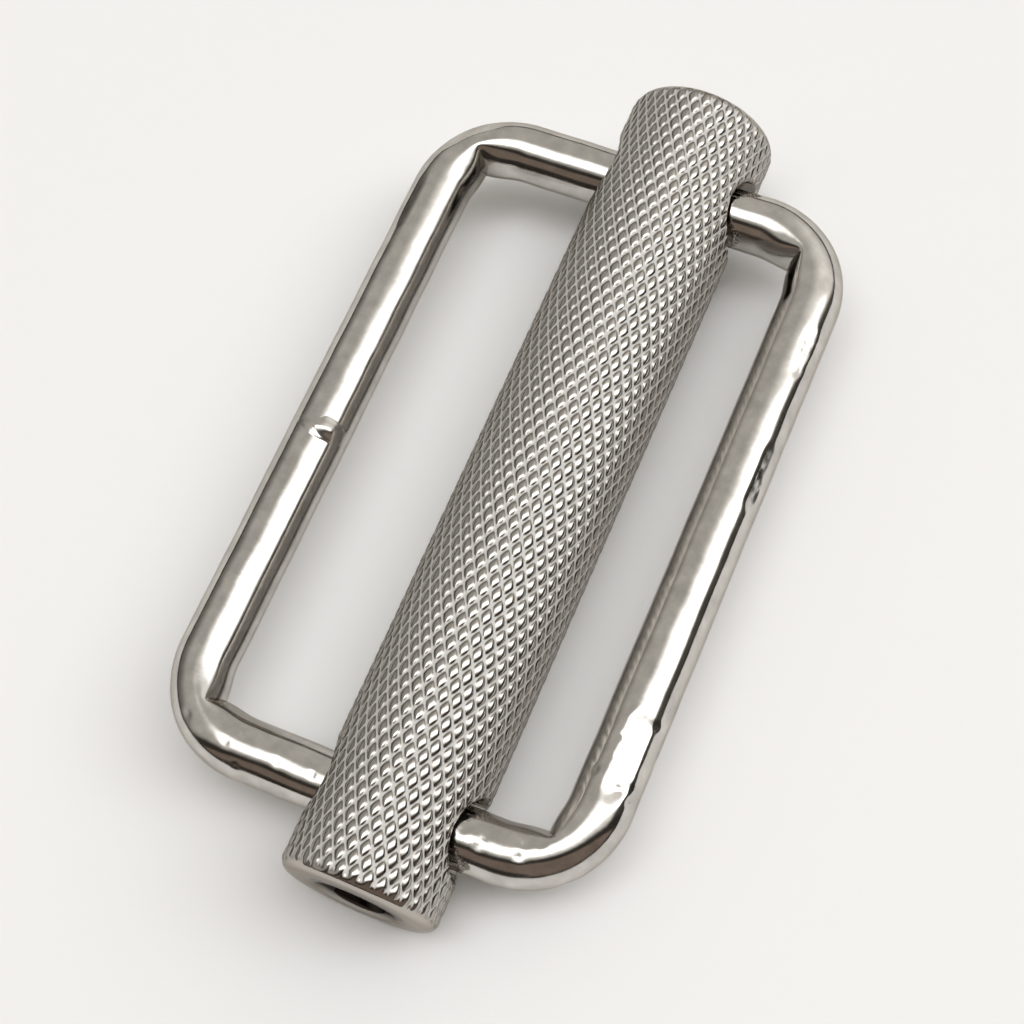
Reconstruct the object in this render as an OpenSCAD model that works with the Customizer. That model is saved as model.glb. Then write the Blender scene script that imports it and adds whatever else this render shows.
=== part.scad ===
// Strap slider with a sliding bar: a closed frame bent from round wire, and a knurled tube whose
// two pairs of cross-holes ride on the frame's short rails. The webbing goes up through one window,
// over the tube and down through the other, and its pull draws the tube along the rails so that it
// grips. Millimetres. X is across the strap's width of travel (the tube slides along it), Y runs
// along the tube, Z is square to the frame's plane. The origin is the frame's centre.

/* [Wire frame] */
// Diameter of the frame's round wire
wire_d = 4.0; // [3.6:0.1:4.2]
// Clear length between the two short rails, a little more than the webbing's width
inner_l = 41.4; // [38:0.2:44]
// Clear width between the two long sides
inner_w = 22.5; // [22:0.5:26]
// Radius of each corner bend, measured on the wire's centre line
bend_r = 4.8; // [4.4:0.1:5.2]

/* [Closing weld] */
// Gap between the two wire ends that the weld fills
weld_gap = 0.6; // [0.3:0.1:1.0]
// Length of wire that the bead covers
weld_l = 2.4; // [1.6:0.1:3.2]
// How far the bead stands above the wire
weld_rise = 0.3; // [0.1:0.05:0.4]
// Distance of the joint from the middle of its long side
weld_y = -1.8; // [-10:0.2:10]
// Direction in which the bead stands highest, about Y from +X towards +Z
weld_side = 50; // [30:5:60]

/* [Slide bar] */
// Outside diameter of the tube, over the crests of its knurl
bar_d = 10.2; // [9.8:0.1:10.4]
// Length of the tube
bar_l = 57.2; // [55:0.2:60]
// Diameter of the tube's bore
bore_d = 5.0; // [4.4:0.1:5.4]
// Diameter of each cross-hole that a rail runs through
cross_d = 5.2; // [5.0:0.1:5.6]
// Radius of the smooth rounded lip at each end
lip_r = 0.9; // [0.6:0.1:1.0]
// Chamfer at each mouth of the bore
bore_chamfer = 0.3; // [0.2:0.1:0.4]
// Distance of the tube's axis from the frame's centre, within its travel
bar_x = 1.9; // [-4.5:0.1:4.5]

/* [Hidden] */
wire_fn = 48;
bar_fn = 96;
wire_r = wire_d / 2;
bar_r = bar_d / 2;
// Half distances between the centre lines of opposite sides
side_x = (inner_w + wire_d) / 2;
rail_y = (inner_l + wire_d) / 2;
// Centres of the corner bends, which are also the ends of the straight stretches
bend_x = side_x - bend_r;
bend_y = rail_y - bend_r;
// The tube stops where the mouth of a cross-hole meets the inside of a bend
stop_gap = 0.3;
mouth_play = (cross_d - wire_d) / 2 - stop_gap;
bend_in_r = bend_r - wire_r;
stop_x = bend_x - bar_r + sqrt(bend_in_r ^ 2 - (bend_in_r - mouth_play) ^ 2);
assert(abs(bar_x) <= stop_x, "the tube is past the end of its travel");
echo(travel_each_way_from_centre = stop_x);

wire_frame();
closing_weld();
slide_bar();

// One length of wire: from the weld round all four corners and back to the weld
module wire_frame()
    color([0.78, 0.76, 0.73]) {
        long_side(side_x, -bend_y, bend_y);
        long_side(-side_x, weld_y + weld_gap / 2, bend_y);
        long_side(-side_x, -bend_y, weld_y - weld_gap / 2);
        for (side = [-1, 1]) rail(side * rail_y);
        for (turn = [0 : 3]) corner_bend(turn);
    }

// A straight stretch parallel to the tube
module long_side(x, y_from, y_to)
    translate([x, y_from, 0])
        rotate([-90, 0, 0]) cylinder(r = wire_r, h = y_to - y_from, $fn = wire_fn);

// A straight stretch that the tube slides along
module rail(y)
    translate([-bend_x, y, 0])
        rotate([0, 90, 0]) cylinder(r = wire_r, h = 2 * bend_x, $fn = wire_fn);

// A quarter turn; turn 0 is the +X +Y corner and the rest follow anticlockwise
module corner_bend(turn) {
    sx = (turn == 0 || turn == 3) ? 1 : -1;
    sy = (turn < 2) ? 1 : -1;
    translate([sx * bend_x, sy * bend_y, 0])
        rotate([0, 0, 90 * turn])
            rotate_extrude(angle = 90, $fn = bar_fn)
                translate([bend_r, 0]) circle(r = wire_r, $fn = wire_fn);
}

// The butt weld in one long side: a disc between the wire ends and a low bead over them,
// dressed flush on the outside of the frame so that it can't snag the webbing
module closing_weld()
    color([0.72, 0.70, 0.66])
        translate([-side_x, weld_y, 0])
            rotate([-90, 0, 0]) {
                cylinder(r = wire_r, h = weld_gap, center = true, $fn = wire_fn);
                difference() {
                    intersection() {
                        translate(weld_rise / 2 * [cos(weld_side), -sin(weld_side), 0])
                            weld_bead();
                        // The outside face, dressed flush with the wire
                        translate([-wire_r, -2 * wire_d, -weld_l])
                            cube([3 * wire_d, 4 * wire_d, 2 * weld_l]);
                    }
                    cylinder(r = wire_r, h = 2 * weld_l, center = true, $fn = wire_fn);
                }
            }

// The bead's full round, highest over the joint and feathered to nothing at its ends
module weld_bead() {
    rise_r = wire_r + weld_rise / 2;
    for (end = [0, 1]) mirror([0, 0, end])
        cylinder(r1 = rise_r, r2 = wire_r - weld_rise / 2, h = weld_l / 2, $fn = wire_fn);
}

// The tube: rounded lips, a straight bore, and a cross-hole through both walls for each rail
module slide_bar()
    color([0.70, 0.69, 0.67])
        translate([bar_x, 0, 0])
            difference() {
                rotate([-90, 0, 0]) rotate_extrude($fn = bar_fn) tube_section();
                for (side = [-1, 1])
                    translate([-bar_d, side * rail_y, 0])
                        rotate([0, 90, 0]) cylinder(d = cross_d, h = 2 * bar_d, $fn = bar_fn);
            }

// Half of the tube's lengthwise section, with its axis on the Y axis
module tube_section()
    difference() {
        union() {
            translate([0, lip_r - bar_l / 2]) square([bar_r, bar_l - 2 * lip_r]);
            translate([0, -bar_l / 2]) square([bar_r - lip_r, bar_l]);
            for (side = [-1, 1])
                translate([bar_r - lip_r, side * (bar_l / 2 - lip_r)])
                    circle(r = lip_r, $fn = wire_fn);
        }
        translate([-1, -bar_l]) square([bore_d / 2 + 1, 2 * bar_l]);
        for (side = [-1, 1])
            translate([bore_d / 2, side * bar_l / 2]) rotate(45)
                square(bore_chamfer * sqrt(2), center = true);
    }
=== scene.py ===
"""Looks of the strap slider: a bent and welded wire frame with a knurled tube that slides on it."""

import math

import bmesh
import bpy
import numpy as np
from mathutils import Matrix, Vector, noise


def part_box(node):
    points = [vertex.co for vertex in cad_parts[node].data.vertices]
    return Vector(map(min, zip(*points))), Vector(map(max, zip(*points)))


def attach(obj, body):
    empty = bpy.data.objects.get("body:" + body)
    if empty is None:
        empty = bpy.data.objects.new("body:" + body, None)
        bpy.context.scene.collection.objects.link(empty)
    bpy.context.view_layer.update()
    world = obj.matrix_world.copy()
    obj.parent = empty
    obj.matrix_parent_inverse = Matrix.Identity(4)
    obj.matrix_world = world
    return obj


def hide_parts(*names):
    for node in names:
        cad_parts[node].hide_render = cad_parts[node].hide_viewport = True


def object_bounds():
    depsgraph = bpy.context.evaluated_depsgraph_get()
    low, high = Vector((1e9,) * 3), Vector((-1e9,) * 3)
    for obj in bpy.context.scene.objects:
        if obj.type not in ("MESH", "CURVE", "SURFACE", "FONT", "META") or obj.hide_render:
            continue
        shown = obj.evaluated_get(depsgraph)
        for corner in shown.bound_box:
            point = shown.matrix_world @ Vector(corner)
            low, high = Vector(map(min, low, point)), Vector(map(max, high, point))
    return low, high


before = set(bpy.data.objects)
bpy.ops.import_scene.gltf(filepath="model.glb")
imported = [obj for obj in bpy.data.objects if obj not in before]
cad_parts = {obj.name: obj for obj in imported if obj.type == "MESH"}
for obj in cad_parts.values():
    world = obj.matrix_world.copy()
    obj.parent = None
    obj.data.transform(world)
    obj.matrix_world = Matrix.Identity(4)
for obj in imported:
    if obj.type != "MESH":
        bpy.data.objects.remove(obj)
cad_low, cad_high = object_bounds()

MM = 0.001

# ---------------------------------------------------------------- sizes, in the CAD frame

frame_low, frame_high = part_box("wire_frame")
bar_low, bar_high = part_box("slide_bar")
weld_low, weld_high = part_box("closing_weld")
WIRE_R = frame_high.z
SIDE_X = frame_high.x - WIRE_R
RAIL_Y = frame_high.y - WIRE_R
BEND_R = 4.8 * MM
BAR_X = (bar_low.x + bar_high.x) / 2
BAR_R = bar_high.z
BAR_HALF = bar_high.y
BORE_R = 2.5 * MM
BORE_CHAMFER = 0.3 * MM
LIP_R = 0.9 * MM
LIP_LENGTH = 0.5 * MM
CROSS_R = 2.6 * MM
WELD_GAP = 0.6 * MM
WELD_Y = (weld_low.y + weld_high.y) / 2
WELD_HALF = (weld_high.y - weld_low.y) / 2


# ---------------------------------------------------------------- mesh helpers

def mesh_object(name, vertices, faces, smooth_angle=None):
    """A mesh object from arrays, smooth shaded, with edges sharper than smooth_angle kept crisp."""
    mesh = bpy.data.meshes.new(name)
    mesh.from_pydata([tuple(v) for v in vertices], [], [tuple(f) for f in faces])
    mesh.validate()
    made = bpy.data.objects.new(name, mesh)
    bpy.context.scene.collection.objects.link(made)
    shade(mesh, smooth_angle)
    return made


def shade(mesh, smooth_angle=None):
    mesh.shade_smooth()
    if smooth_angle is not None:
        mesh.set_sharp_from_angle(angle=math.radians(smooth_angle))


def face_outward(mesh, merge=None):
    """Turns every face outward, after merging vertices closer together than merge."""
    fix = bmesh.new()
    fix.from_mesh(mesh)
    if merge is not None:
        bmesh.ops.remove_doubles(fix, verts=fix.verts, dist=merge)
    bmesh.ops.recalc_face_normals(fix, faces=fix.faces)
    fix.to_mesh(mesh)
    fix.free()


def turns(count):
    """Angles evenly round a full circle."""
    return np.arange(count) * 2 * math.pi / count


def ring_faces(rows, columns, closed_rows):
    """Quads of a tube grid whose rows are rings of columns vertices, wound outward."""
    last = rows if closed_rows else rows - 1
    row, column = np.meshgrid(np.arange(last), np.arange(columns), indexing="ij")
    up, over = (row + 1) % rows, (column + 1) % columns
    corners = [row * columns + column, row * columns + over,
               up * columns + over, up * columns + column]
    return np.stack([c.ravel() for c in corners], axis=1)


def smoothstep(low, high, value):
    t = np.clip((value - low) / (high - low), 0, 1)
    return t * t * (3 - 2 * t)


# ---------------------------------------------------------------- knurled slide bar

KNURL_STARTS = 36
KNURL_ANGLE = math.radians(30)
KNURL_STEPS = 8
KNURL_DEPTH = 0.13 * MM
DIAMOND_FLATNESS = 2.8
KNURL_PERIOD = 2 * math.pi * BAR_R / KNURL_STARTS / math.tan(KNURL_ANGLE)
KNURL_ROW = KNURL_PERIOD / KNURL_STEPS
KNURL_ROWS = int((BAR_HALF - LIP_LENGTH) / KNURL_ROW)  # each side of the middle
BAR_COLUMNS = KNURL_STARTS * KNURL_STEPS
BAR_CRISP = 50  # degrees
LIP_STEP = 0.13 * MM  # how far the lip lies below the crests where the knurl ends
LIP_START = 22  # degrees round the lip
LIP_RINGS, FACE_RINGS, BORE_RINGS = 8, 3, 5
MOUTH_ROUND = 0.55 * MM
MOUTH_SINK = 0.75  # deepest sink round a mouth, as a share of MOUTH_ROUND
MOUTH_STEEPEST = 0.98  # just under 1, where the rounded edge would stand upright
MOUTH_SIDES = 96
SMOOTH_DEPTH = 0.25  # depth given to the lips and walls, which have no grooves
KNURL_LIMIT = 1.05  # a greater depth than this is not a groove
FACE_MARGIN = 0.05 * MM
FACE_MARK = 0.35  # value of "turned" on the end faces; it is 1 in the bore
NEARLY = 1e-9


def knurl_depth(angle, y):
    """Depth of the knurl: 0 on top of a rounded diamond, 1 in the grooves between diamonds."""
    turn = KNURL_STARTS * angle / (2 * math.pi)
    along = y / KNURL_PERIOD
    height = 1.0
    for family in (turn + along, turn - along):
        off_centre = np.abs(2 * (family - np.floor(family)) - 1)
        height = height * (1 - off_centre ** DIAMOND_FLATNESS)
    return 1 - height


def bar_rows():
    """The closed loop of (radius, y) that the tube's section follows, outside first."""
    outside = [(BAR_R, j * KNURL_ROW) for j in range(-KNURL_ROWS, KNURL_ROWS + 1)]
    lip = []
    for degrees in np.linspace(LIP_START, 90, LIP_RINGS):
        turn = math.radians(degrees)
        lip.append((BAR_R - LIP_STEP - (LIP_R - LIP_STEP) * (1 - math.cos(turn)),
                    BAR_HALF - LIP_LENGTH * (1 - math.sin(turn))))
    face_radii = np.linspace(BAR_R - LIP_R, BORE_R + BORE_CHAMFER, FACE_RINGS)[1:]
    face = [(r, BAR_HALF) for r in face_radii]
    bore = [(BORE_R, y) for y in np.linspace(BAR_HALF - BORE_CHAMFER, 0, BORE_RINGS)]
    near_end = lip + face + bore
    far_end = [(r, -y) for r, y in reversed(near_end[:-1])]
    return outside + near_end + far_end


def mouth_drop(x, y, z):
    """How far the surface sinks round the mouth of a cross-hole, as a rounded edge."""
    reach = np.hypot(np.abs(y) - RAIL_Y, z) - CROSS_R
    into = np.clip(1 - reach / MOUTH_ROUND, 0, 1)
    return MOUTH_SINK * MOUTH_ROUND * (1 - np.sqrt(1 - into ** 2 * MOUTH_STEEPEST))


def make_slide_bar():
    """The tube: a knurled outside, a smooth lip at each end, an open bore and two cross-holes."""
    rows = bar_rows()
    radius = np.array([r for r, _ in rows])[:, None]
    y = np.array([v for _, v in rows])[:, None]
    angle = turns(BAR_COLUMNS)[None, :]
    outer = (radius > BORE_R + BORE_CHAMFER) & (np.abs(y) < BAR_HALF - NEARLY)
    cut = BAR_R - KNURL_DEPTH * knurl_depth(angle, y)
    radius = np.where(outer, np.minimum(radius, cut), radius + 0 * angle)
    drop = mouth_drop(radius * np.cos(angle), y, radius * np.sin(angle))
    radius = np.where(outer, np.minimum(radius, BAR_R - drop), radius)
    y = y + 0 * angle
    points = np.stack([BAR_X + radius * np.cos(angle), y, radius * np.sin(angle)], axis=-1)
    faces = split_knurl(ring_faces(len(rows), BAR_COLUMNS, True))
    bar = mesh_object("knurled_slide_bar", points.reshape(-1, 3), faces)
    for side in (-1, 1):
        cut_through(bar, Vector((BAR_X, side * RAIL_Y, 0)), CROSS_R)
    mark_depth(bar)
    shade(bar.data, BAR_CRISP)
    return bar


def split_knurl(quads):
    """Splits each quad along the diagonal that follows the ridge beside it."""
    row, column = np.divmod(quads[:, 0], BAR_COLUMNS)
    step = row - KNURL_ROWS
    rising = (column + step + 1) / KNURL_STEPS
    falling = (column - step) / KNURL_STEPS
    follows_rising = np.abs(rising - np.round(rising)) < np.abs(falling - np.round(falling))
    follows_rising = follows_rising[:, None]
    a, b, c, d = quads.T
    one = np.where(follows_rising, np.stack([a, b, d], 1), np.stack([a, b, c], 1))
    two = np.where(follows_rising, np.stack([b, c, d], 1), np.stack([a, c, d], 1))
    return np.concatenate([one, two])


def cut_through(piece, centre, radius):
    """Cuts a round hole through the piece along X."""
    half = 2 * BAR_R
    turn = turns(MOUTH_SIDES)
    ends = [np.stack([np.full(MOUTH_SIDES, centre.x + side * half),
                      centre.y + radius * np.cos(turn),
                      centre.z + radius * np.sin(turn)], 1) for side in (-1, 1)]
    faces = [[k, (k + 1) % MOUTH_SIDES, MOUTH_SIDES + (k + 1) % MOUTH_SIDES, MOUTH_SIDES + k]
             for k in range(MOUTH_SIDES)]
    faces += [list(range(MOUTH_SIDES))[::-1], list(range(MOUTH_SIDES, 2 * MOUTH_SIDES))]
    cutter = mesh_object("mouth", np.concatenate(ends), faces)
    face_outward(cutter.data)
    cut = piece.modifiers.new("mouth", "BOOLEAN")
    cut.operation, cut.object, cut.solver = "DIFFERENCE", cutter, "MANIFOLD"
    bpy.context.view_layer.update()
    depsgraph = bpy.context.evaluated_depsgraph_get()
    result = bpy.data.meshes.new_from_object(piece.evaluated_get(depsgraph))
    piece.modifiers.clear()
    old, piece.data = piece.data, result
    result.name = piece.name
    bpy.data.meshes.remove(old)
    bpy.data.objects.remove(cutter)


def mark_depth(bar):
    """Stores how deep each vertex lies below the crests, for the finish and for the painted shade on
    the knurl's flanks, and which ones are on the turned end faces (a little) and in the bore (fully,
    where shade is painted)."""
    place = np.zeros(len(bar.data.vertices) * 3)
    bar.data.vertices.foreach_get("co", place)
    x, y, z = place.reshape(-1, 3).T
    radius = np.hypot(x - BAR_X, z)
    depth = (BAR_R - radius) / KNURL_DEPTH
    on_lip = np.abs(y) > BAR_HALF - LIP_LENGTH
    depth = np.where((depth > KNURL_LIMIT) | on_lip, SMOOTH_DEPTH, depth)
    bore = smoothstep(BORE_R + 2 * BORE_CHAMFER, BORE_R, radius)
    face = np.abs(y) > BAR_HALF - LIP_LENGTH + FACE_MARGIN
    for name, value in (("depth", np.clip(depth, 0, 1)),
                        ("turned", np.maximum(bore, FACE_MARK * face))):
        layer = bar.data.attributes.new(name, "FLOAT", "POINT")
        layer.data.foreach_set("value", value.astype(np.float32))


# ---------------------------------------------------------------- wire frame

WIRE_SIDES = 72
WIRE_STEP = 0.2 * MM
WIRE_CRISP = 40  # degrees
CREASE = 0.62
WAVE_DEPTH = 0.035 * MM
WAVE_SIZE = 3.0 * MM
WAVES_START, WAVES_FULL = 1 * MM, 3 * MM  # distance from the weld, which was dressed smooth
NOISE_SLICE = 0.3
FLAT_CORE = 0.55  # share of a tool flat's reach that is pressed to its full depth
LEAST_LEAN = 0.2
SCUFF_SIZE = 0.3 * MM
PIT_SIDES = (-20, 120)  # degrees upward of straight outward
PIT_SIZES, PIT_DEPTHS = (0.14, 0.32), (0.04, 0.1)  # mm

# Where a bending tool has pressed on the wire: the middle of the mark, its reach, how many degrees
# upward of straight outward it faces, its depth, and how deep it is scuffed.
TOOL_FLATS = (
    ((SIDE_X, -15 * MM, 0), 3.6 * MM, 74, 0.17 * MM, 0.03 * MM),
    ((SIDE_X, 5 * MM, 0), 3.0 * MM, 42, 0.09 * MM, 0.01 * MM),
    ((-SIDE_X, 15.5 * MM, 0), 3.0 * MM, 60, 0.06 * MM, 0.0),
    ((SIDE_X, 14 * MM, 0), 2.4 * MM, 58, 0.06 * MM, 0.03 * MM),
    ((-SIDE_X + 2 * MM, RAIL_Y - 2 * MM, 0), 2.2 * MM, 55, 0.10 * MM, 0.03 * MM),
)

# Where the plating is pitted: the middle of the place, its reach, how many pits, and their seed.
PITTED_PLACES = (
    ((-6 * MM, -RAIL_Y, 0), 6 * MM, 16, 3),
    ((8 * MM, -RAIL_Y, 0), 5 * MM, 18, 5),
    ((SIDE_X, -15 * MM, 0), 3 * MM, 12, 8),
)


def wire_path():
    """Centre line from the weld round all four corners: (position, outward direction, crease),
    crease being how much farther out the inside of a bend lies there, in a sharply pinched bend."""
    bend_x, bend_y = SIDE_X - BEND_R, RAIL_Y - BEND_R
    points = []

    def straight(start, end, outward):
        length = (Vector(end) - Vector(start)).length
        count = max(1, round(length / WIRE_STEP))
        for k in range(count):
            points.append((Vector(start).lerp(Vector(end), k / count), Vector(outward), 0.0))

    def bend(centre, start_angle):
        count = round(BEND_R * math.pi / 2 / WIRE_STEP / 2) * 2
        for k in range(count):
            swept = math.pi / 2 * k / count
            turn = math.radians(start_angle) - swept
            out = Vector((math.cos(turn), math.sin(turn), 0))
            lean = min(swept, math.pi / 2 - swept)
            pinch = (1 / math.cos(lean) - 1) * lean / (math.pi / 4)
            points.append((Vector(centre) + BEND_R * out, out, CREASE * pinch))

    first, last = WELD_Y + WELD_GAP / 2, WELD_Y - WELD_GAP / 2
    straight((-SIDE_X, first, 0), (-SIDE_X, bend_y, 0), (-1, 0, 0))
    bend((-bend_x, bend_y, 0), 180)
    straight((-bend_x, RAIL_Y, 0), (bend_x, RAIL_Y, 0), (0, 1, 0))
    bend((bend_x, bend_y, 0), 90)
    straight((SIDE_X, bend_y, 0), (SIDE_X, -bend_y, 0), (1, 0, 0))
    bend((bend_x, -bend_y, 0), 0)
    straight((bend_x, -RAIL_Y, 0), (-bend_x, -RAIL_Y, 0), (0, -1, 0))
    bend((-bend_x, -bend_y, 0), -90)
    straight((-SIDE_X, -bend_y, 0), (-SIDE_X, last, 0), (-1, 0, 0))
    points.append((Vector((-SIDE_X, last, 0)), Vector((-1, 0, 0)), 0.0))
    return points


def tool_flat(radius, centre, turn, spot, reach, facing, depth, scuff):
    """Flattens the wire where a bending tool has pressed on it."""
    distance = np.linalg.norm(centre - np.array(spot), axis=-1)
    press = 1 - smoothstep(FLAT_CORE * reach, reach, distance)
    lean = np.clip(np.cos(turn - math.radians(facing)), LEAST_LEAN, 1)
    flat = (WIRE_R - depth * press) / lean
    if scuff:
        flat = flat - scuff * press * scatter(centre, turn, SCUFF_SIZE)
    return np.minimum(radius, flat)


def scatter(centre, turn, size):
    """Noise between 0 and 1 over the wire's surface, with grains of that size."""
    rows = centre.shape[0]
    grain = np.empty((rows, turn.shape[1]))
    for i in range(rows):
        x, y, _ = centre[i, 0] / size
        for j, angle in enumerate(turn[0]):
            around = Vector((math.cos(angle), math.sin(angle), NOISE_SLICE))
            grain[i, j] = noise.noise(Vector((x, y, 0)) + around * (WIRE_R / size))
    return np.clip(0.5 + grain, 0, 1)


def pits(radius, centre, turn, near, reach, count, seed):
    """Small round pits in the plating, scattered about one place on the upper side."""
    dice = np.random.default_rng(seed)
    near_rows = np.nonzero(np.linalg.norm(centre[:, 0] - np.array(near), axis=1) < reach)[0]
    for _ in range(count):
        middle = centre[dice.choice(near_rows), 0]
        side = math.radians(dice.uniform(*PIT_SIDES))
        size, depth = dice.uniform(*PIT_SIZES) * MM, dice.uniform(*PIT_DEPTHS) * MM
        around = (turn - side + math.pi) % (2 * math.pi) - math.pi
        gap = np.linalg.norm(centre - middle, axis=-1) ** 2 + (WIRE_R * around) ** 2
        radius = radius - depth * np.exp(-gap / size ** 2)
    return radius


def make_wire_frame():
    """The bent wire: faintly wavy, pinched inside its bends, and marked by the bending tool."""
    path = wire_path()
    rows = len(path)
    turn = turns(WIRE_SIDES)[None, :]
    centre = np.array([p for p, _, _ in path])[:, None, :]
    out = np.array([o for _, o, _ in path])[:, None, :]
    crease = np.array([c for _, _, c in path])[:, None]
    radius = np.full((rows, WIRE_SIDES), WIRE_R)
    from_weld = np.linalg.norm(centre - np.array((-SIDE_X, WELD_Y, 0)), axis=-1)
    waves = smoothstep(WAVES_START, WAVES_FULL, from_weld)
    radius = radius - WAVE_DEPTH * waves * scatter(centre, turn, WAVE_SIZE)
    for spot, reach, facing, depth, scuff in TOOL_FLATS:
        radius = tool_flat(radius, centre, turn, spot, reach, facing, depth, scuff)
    for near, reach, count, seed in PITTED_PLACES:
        radius = pits(radius, centre, turn, near, reach, count, seed)
    inward = smoothstep(0, 1, -np.cos(turn))
    across = radius * np.cos(turn)
    across = across + crease * inward * (BEND_R + across)
    rise = radius * np.sin(turn)
    points = centre + across[..., None] * out + rise[..., None] * np.array([0, 0, 1.0])
    faces = ring_faces(rows, WIRE_SIDES, False).tolist()
    faces.append(list(range(WIRE_SIDES))[::-1])
    faces.append(list(range((rows - 1) * WIRE_SIDES, rows * WIRE_SIDES)))
    return mesh_object("bent_wire_frame", points.reshape(-1, 3), faces, WIRE_CRISP)


# ---------------------------------------------------------------- closing weld

WELD_SIDES = 96
WELD_CRISP = 60  # degrees
BEAD_RINGS = 49
WELD_RISE = 0.24 * MM
SUNK = 0.05 * MM
# A lump or dip in the bead: the degrees round the wire and the place along it of its middle, and
# how far it spreads in each.
MELT_LUMP = (64, -0.1 * MM, 32, 0.55 * MM)
MELT_DIP = (96, 0.35 * MM, 18, 0.3 * MM)
DIP_SHARE = 0.5
# The crease where the melt has drawn back: its offset along the wire, the side where it starts,
# its slant, width and depth.
SEAM_OFFSET, SEAM_SIDE, SEAM_SLANT = 0.55 * MM, 80, 0.5
SEAM_WIDTH, SEAM_DEPTH = 0.09 * MM, 0.4
BEAD_EDGE = 0.2 * MM
BEAD_FADE = 6
MERGE = 1e-7


def bead_height(turn, y):
    """Height of the bead over the wire: a lump of melt with a dip and a crease in its side,
    fading into the wire all round."""
    def lump(side, place, wide, long):
        return np.exp(-((turn - math.radians(side)) / math.radians(wide)) ** 2
                      - ((y - place) / long) ** 2)

    height = np.clip(lump(*MELT_LUMP) - DIP_SHARE * lump(*MELT_DIP), 0, 1)
    from_seam = np.abs(y + SEAM_OFFSET - SEAM_SLANT * WIRE_R * (turn - math.radians(SEAM_SIDE)))
    seam = np.exp(-from_seam / SEAM_WIDTH)
    hidden = smoothstep(WELD_GAP / 2, WELD_GAP / 2 + BEAD_EDGE, np.abs(y))
    return (WELD_RISE * height * (1 - SEAM_DEPTH * seam)
            - SUNK * hidden * (1 - np.clip(height * BEAD_FADE, 0, 1)))


def make_weld():
    """The weld: a disc between the wire's ends and a low uneven bead over them."""
    turn = turns(WELD_SIDES)[None, :]
    gap = WELD_GAP / 2
    sunk = WIRE_R - SUNK
    disc = [(0.0, gap), (WIRE_R * 0.5, gap), (sunk - SUNK, gap), (sunk - SUNK, WELD_HALF)]
    loop = [(r, -y) for r, y in disc]
    loop += [(WIRE_R, y) for y in np.linspace(-WELD_HALF, WELD_HALF, BEAD_RINGS)]
    loop += disc[::-1]
    radius = np.array([r for r, _ in loop])[:, None] + 0 * turn
    y = np.array([v for _, v in loop])[:, None] + 0 * turn
    wrapped = (turn + math.pi) % (2 * math.pi) - math.pi
    radius = np.where(radius > sunk, radius + bead_height(wrapped, y), radius)
    points = np.stack([-SIDE_X + radius * np.cos(turn), WELD_Y + y, radius * np.sin(turn)], -1)
    faces = ring_faces(len(loop), WELD_SIDES, False)
    weld = mesh_object("closing_weld_bead", points.reshape(-1, 3), faces, WELD_CRISP)
    face_outward(weld.data, MERGE)
    return weld


# ---------------------------------------------------------------- shader nodes

class Graph:
    """Adds nodes to one node tree. A value is a number, a colour of three numbers, or the output
    of another node."""

    def __init__(self, tree):
        self.nodes, self.links = tree.nodes, tree.links

    def feed(self, socket, value):
        if isinstance(value, bpy.types.NodeSocket):
            self.links.new(value, socket)
        elif isinstance(value, tuple):
            socket.default_value = (*value, 1)
        else:
            socket.default_value = value

    def math(self, operation, *values):
        node = self.nodes.new("ShaderNodeMath")
        node.operation = operation
        for socket, value in zip(node.inputs, values):
            self.feed(socket, value)
        return node.outputs[0]

    def spread(self, value, low, high, to_low=0, to_high=1, kind="LINEAR"):
        """Maps low..high onto to_low..to_high, held at either end."""
        node = self.nodes.new("ShaderNodeMapRange")
        node.interpolation_type = kind
        for name, number in (("Value", value), ("From Min", low), ("From Max", high),
                             ("To Min", to_low), ("To Max", to_high)):
            self.feed(node.inputs[name], number)
        return node.outputs["Result"]

    def clouds(self, scale, detail):
        """Noise over the object's own coordinates."""
        node = self.nodes.new("ShaderNodeTexNoise")
        self.feed(node.inputs["Scale"], scale)
        self.feed(node.inputs["Detail"], detail)
        place = self.nodes.new("ShaderNodeTexCoord")
        self.feed(node.inputs["Vector"], place.outputs["Object"])
        return node.outputs["Fac"]

    def stored(self, name):
        """A number stored on the mesh's vertices."""
        node = self.nodes.new("ShaderNodeAttribute")
        node.attribute_name = name
        return node.outputs["Fac"]

    def ramp(self, value, first, last, between=()):
        """Colours along a scale, each stop a (position, colour) pair."""
        node = self.nodes.new("ShaderNodeValToRGB")
        elements = node.color_ramp.elements
        for element, (position, colour) in zip(elements, (first, last)):
            element.position, element.color = position, (*colour, 1)
        for position, colour in between:
            elements.new(position).color = (*colour, 1)
        self.feed(node.inputs["Fac"], value)
        return node.outputs["Color"]

    def blend(self, mask, under, over):
        node = self.nodes.new("ShaderNodeMix")
        node.data_type = "RGBA"
        colour_a, colour_b = [s for s in node.inputs if s.type == "RGBA"]
        for socket, value in ((node.inputs["Factor"], mask), (colour_a, under), (colour_b, over)):
            self.feed(socket, value)
        return next(s for s in node.outputs if s.type == "RGBA")


def node_material(name):
    material = bpy.data.materials.new(name)
    material.use_nodes = True
    return material, Graph(material.node_tree), material.node_tree.nodes["Principled BSDF"].inputs


# ---------------------------------------------------------------- materials

NICKEL = (0.61, 0.588, 0.555)
EDGE_TINT = (0.6, 0.57, 0.53)
HAZE_SCALE, HAZE_DETAIL = 260, 4
HAZE_LOW, HAZE_HIGH = 0.35, 0.7
CLEAREST, HAZIEST = 0.7, 1.6  # times the plain roughness
PEEL_SCALE, PEEL_DETAIL = 900, 3
PEEL_STRENGTH, PEEL_HEIGHT = 0.4, 0.02 * MM
DARKEST, LIGHTEST = (0.3, 0.84), (0.7, 1.08)  # place in the noise, times the plate's colour

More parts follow.
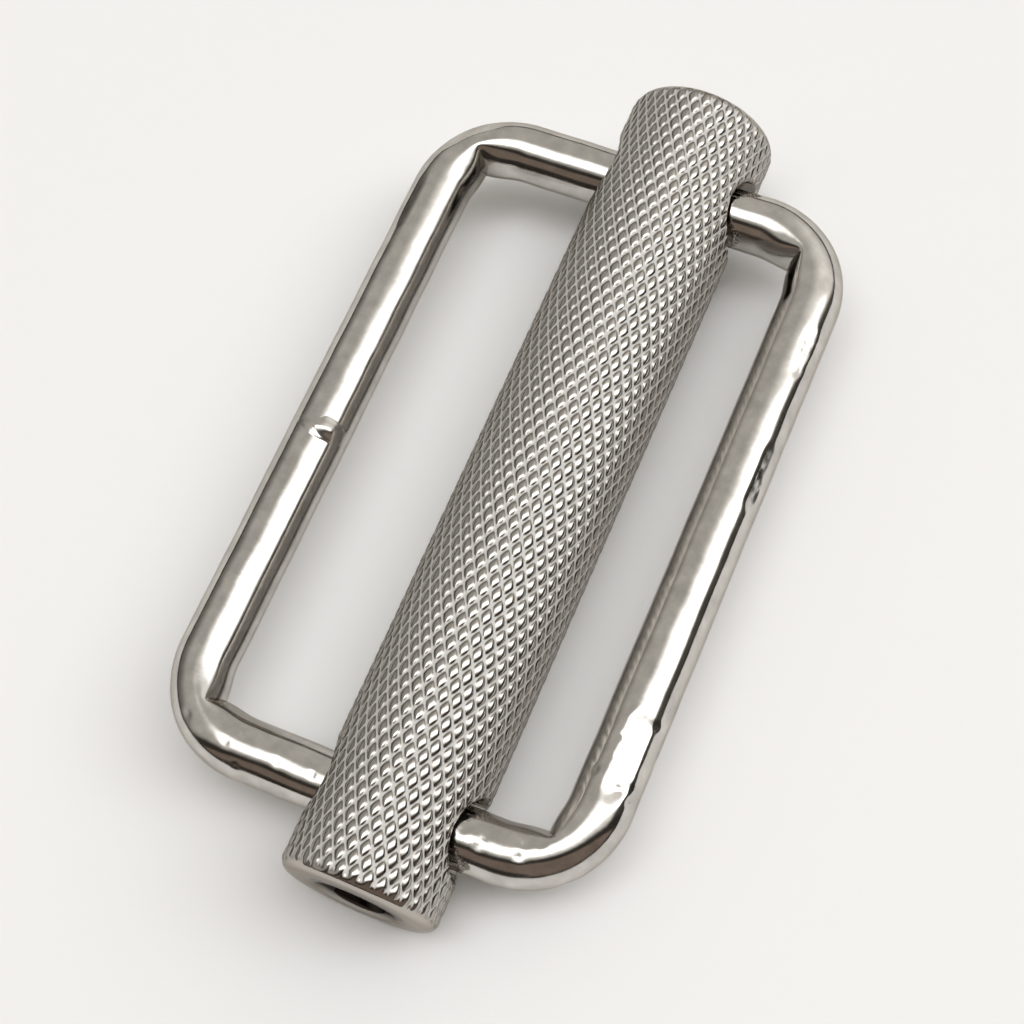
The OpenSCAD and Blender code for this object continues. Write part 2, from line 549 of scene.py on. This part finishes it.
CREST = (0.1, (0.45, 0.432, 0.405))
# painted shade: the flanks of the diamonds are coloured darker than the crests and grooves, in place
# of the shade on the knurl's slopes
FLANK_PAINTED_SHADE = (0.5, (0.22, 0.2, 0.18))
GROOVE = (0.85, (0.6, 0.59, 0.57))
GROOVE_START, GROOVE_FULL = 0.55, 0.85
CREST_ROUGHNESS, GROOVE_ROUGHNESS = 0.13, 0.6
CREST_METAL, GROOVE_METAL = 1, 0.25
END_FACE = (0.5, 0.47, 0.43)
FACE_FULL = 0.3
# painted shade: the bore's colour is nearly black, in place of the shade inside the tube
BORE_PAINTED_SHADE = (0.03, 0.027, 0.024)
WIRE_ROUGHNESS, WELD_ROUGHNESS = 0.1, 0.16


def nickel_plate(name):
    """Plated metal with a faint orange peel, for either finish below."""
    material, graph, sockets = node_material(name)
    graph.feed(sockets["Metallic"], 1.0)
    graph.feed(sockets["Specular Tint"], EDGE_TINT)
    peel = graph.clouds(PEEL_SCALE, PEEL_DETAIL)
    bump = graph.nodes.new("ShaderNodeBump")
    graph.feed(bump.inputs["Strength"], PEEL_STRENGTH)
    graph.feed(bump.inputs["Distance"], PEEL_HEIGHT)
    graph.feed(bump.inputs["Height"], peel)
    graph.feed(sockets["Normal"], bump.outputs["Normal"])
    return material, graph, sockets, peel


def bright_nickel(name, roughness):
    """Nickel on smooth metal: cloudy patches of haze, and a colour that varies with the peel."""
    material, graph, sockets, peel = nickel_plate(name)
    haze = graph.clouds(HAZE_SCALE, HAZE_DETAIL)
    graph.feed(sockets["Roughness"], graph.spread(haze, HAZE_LOW, HAZE_HIGH,
                                                  roughness * CLEAREST, roughness * HAZIEST))
    stops = [(place, tuple(c * share for c in NICKEL)) for place, share in (DARKEST, LIGHTEST)]
    graph.feed(sockets["Base Color"], graph.ramp(peel, *stops))
    return material


def knurled_nickel():
    """The same plate on the knurl: polished on the diamonds, dull down in the grooves, with painted
    shade darkening the diamonds' flanks, plain turned end faces, and a bore painted nearly black as
    shade."""
    material, graph, sockets, _ = nickel_plate("knurled_nickel")
    depth, turned = graph.stored("depth"), graph.stored("turned")
    groove = graph.spread(depth, GROOVE_START, GROOVE_FULL)
    for socket, crest, low in (("Roughness", CREST_ROUGHNESS, GROOVE_ROUGHNESS),
                               ("Metallic", CREST_METAL, GROOVE_METAL)):
        graph.feed(sockets[socket], graph.spread(groove, 0, 1, crest, low))
    # painted shade: the colour darkens down the diamonds' flanks, between the crests and the grooves
    colour = graph.ramp(depth, CREST, GROOVE, [FLANK_PAINTED_SHADE])
    colour = graph.blend(graph.spread(turned, 0, FACE_FULL), colour, END_FACE)
    # painted shade: the bore is coloured nearly black
    colour = graph.blend(graph.spread(turned, FACE_MARK, 1), colour, BORE_PAINTED_SHADE)
    graph.feed(sockets["Base Color"], colour)
    return material


# ---------------------------------------------------------------- assembly

bar = make_slide_bar()
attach(bar, "bar")
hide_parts("slide_bar")
bar.data.materials.clear()
bar.data.materials.append(knurled_nickel())

wire = make_wire_frame()
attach(wire, "frame")
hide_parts("wire_frame")
wire.data.materials.append(bright_nickel("bright_nickel", WIRE_ROUGHNESS))

weld = make_weld()
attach(weld, "frame")
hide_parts("closing_weld")
weld.data.materials.append(bright_nickel("weld_nickel", WELD_ROUGHNESS))

# ---------------------------------------------------------------- camera

CAMERA_PLACE = (29.19, -42.11, 113.57)  # mm
CAMERA_TURN = (22.74, 5.256, 23.237)  # degrees
CAMERA_LENS, CAMERA_SENSOR = 68.35, 36  # mm
CAMERA_NEAREST = 1 * MM

camera_data = bpy.data.cameras.new("camera")
camera_data.lens = CAMERA_LENS
camera_data.sensor_width = CAMERA_SENSOR
camera_data.clip_start = CAMERA_NEAREST
camera = bpy.data.objects.new("camera", camera_data)
bpy.context.scene.collection.objects.link(camera)
camera.location = Vector(CAMERA_PLACE) * MM
camera.rotation_euler = [math.radians(a) for a in CAMERA_TURN]
bpy.context.scene.camera = camera

# ---------------------------------------------------------------- floor

FLOOR_HALF = 15.0
FLOOR_DROP = 0.02 * MM  # below the lowest point of the part
PAPER = (0.88, 0.88, 0.88)
PAPER_ROUGHNESS = 0.7

floor_z = cad_low.z - FLOOR_DROP
corners = [(x * FLOOR_HALF, y * FLOOR_HALF, floor_z) for x, y in ((-1, -1), (1, -1), (1, 1), (-1, 1))]
floor_data = bpy.data.meshes.new("floor")
floor_data.from_pydata(corners, [], [(0, 1, 2, 3)])
floor = bpy.data.objects.new("floor", floor_data)
bpy.context.scene.collection.objects.link(floor)
paper, paper_graph, paper_sockets = node_material("paper")
paper_graph.feed(paper_sockets["Base Color"], PAPER)
paper_graph.feed(paper_sockets["Roughness"], PAPER_ROUGHNESS)
floor_data.materials.append(paper)

# ---------------------------------------------------------------- light

WINDOW = (4.5, 4.5, 4.5)
WALL = (0.55, 0.53, 0.49)
DIM_WALL = (0.20, 0.19, 0.17)
GLOW = (1.1, 1.07, 1.02)
OPERATOR = (0.22, 0.17, 0.14)
DARK_SIDE = (0.09, 0.08, 0.07)
SHADE = (0.035, 0.03, 0.025)
FAR_FLOOR = (0.84, 0.83, 0.81)
WINDOW_SLANT = math.radians(25)
ZENITH_GUARD = 0.001


def studio_sky():
    """A round studio as seen from the slider: a long soft window of light overhead, a glow beside
    it, pale beige walls, a dark warm side where whoever holds the slider would stand, and a rim
    at the horizon that carries on the floor."""
    sky = bpy.data.worlds.new("studio")
    bpy.context.scene.world = sky
    sky.use_nodes = True
    sky.node_tree.nodes.clear()
    graph = Graph(sky.node_tree)

    place = graph.nodes.new("ShaderNodeTexCoord")
    split = graph.nodes.new("ShaderNodeSeparateXYZ")
    graph.feed(split.inputs[0], place.outputs["Generated"])
    x, y, z = split.outputs
    # degrees from the zenith: in all, along X, along Y, and along and across the slanted window
    zenith = graph.math("MULTIPLY", graph.math("ARCCOSINE", z), 180 / math.pi)
    across = graph.math("SQRT", graph.math("ADD", graph.math("MULTIPLY", x, x),
                                           graph.math("MULTIPLY", y, y)))
    across = graph.math("MAXIMUM", across, ZENITH_GUARD)
    dx = graph.math("MULTIPLY", zenith, graph.math("DIVIDE", x, across))
    dy = graph.math("MULTIPLY", zenith, graph.math("DIVIDE", y, across))
    along = graph.math("ADD", graph.math("MULTIPLY", dx, math.cos(WINDOW_SLANT)),
                       graph.math("MULTIPLY", dy, math.sin(WINDOW_SLANT)))
    over = graph.math("SUBTRACT", graph.math("MULTIPLY", dy, math.cos(WINDOW_SLANT)),
                      graph.math("MULTIPLY", dx, math.sin(WINDOW_SLANT)))

    # each layer, painted over the ones before it: its colour, then the edges that bound it, as
    # the angle measured, where the layer starts to show and where it shows fully
    layers = (
        (DIM_WALL, ((dx, -45, -76),)),
        (SHADE, ((dx, -80, -85),)),
        (DARK_SIDE, ((dx, 56, 66),)),
        (GLOW, ((dx, -15, 22), (dx, 62, 52), (dy, 85, 50))),
        (SHADE, ((over, -16, -26),)),
        (OPERATOR, ((over, -33, -37), (dy, -74, -66))),
        (SHADE, ((zenith, 80, 85),)),
        (WINDOW, ((dx, -28, -16), (along, 68, 52), (over, -17, -3), (over, 20, 0))),
        (FAR_FLOOR, ((zenith, 88.8, 89.2),)),
    )
    colour = WALL
    for painted, edges in layers:
        mask = None
        for angle, start, full in edges:
            edge = graph.spread(angle, start, full, kind="SMOOTHSTEP")
            mask = edge if mask is None else graph.math("MULTIPLY", mask, edge)
        colour = graph.blend(mask, colour, painted)
    background = graph.nodes.new("ShaderNodeBackground")
    graph.feed(background.inputs["Color"], colour)
    output = graph.nodes.new("ShaderNodeOutputWorld")
    graph.feed(output.inputs[0], background.outputs[0])


studio_sky()
bpy.context.scene.view_settings.view_transform = "Standard"
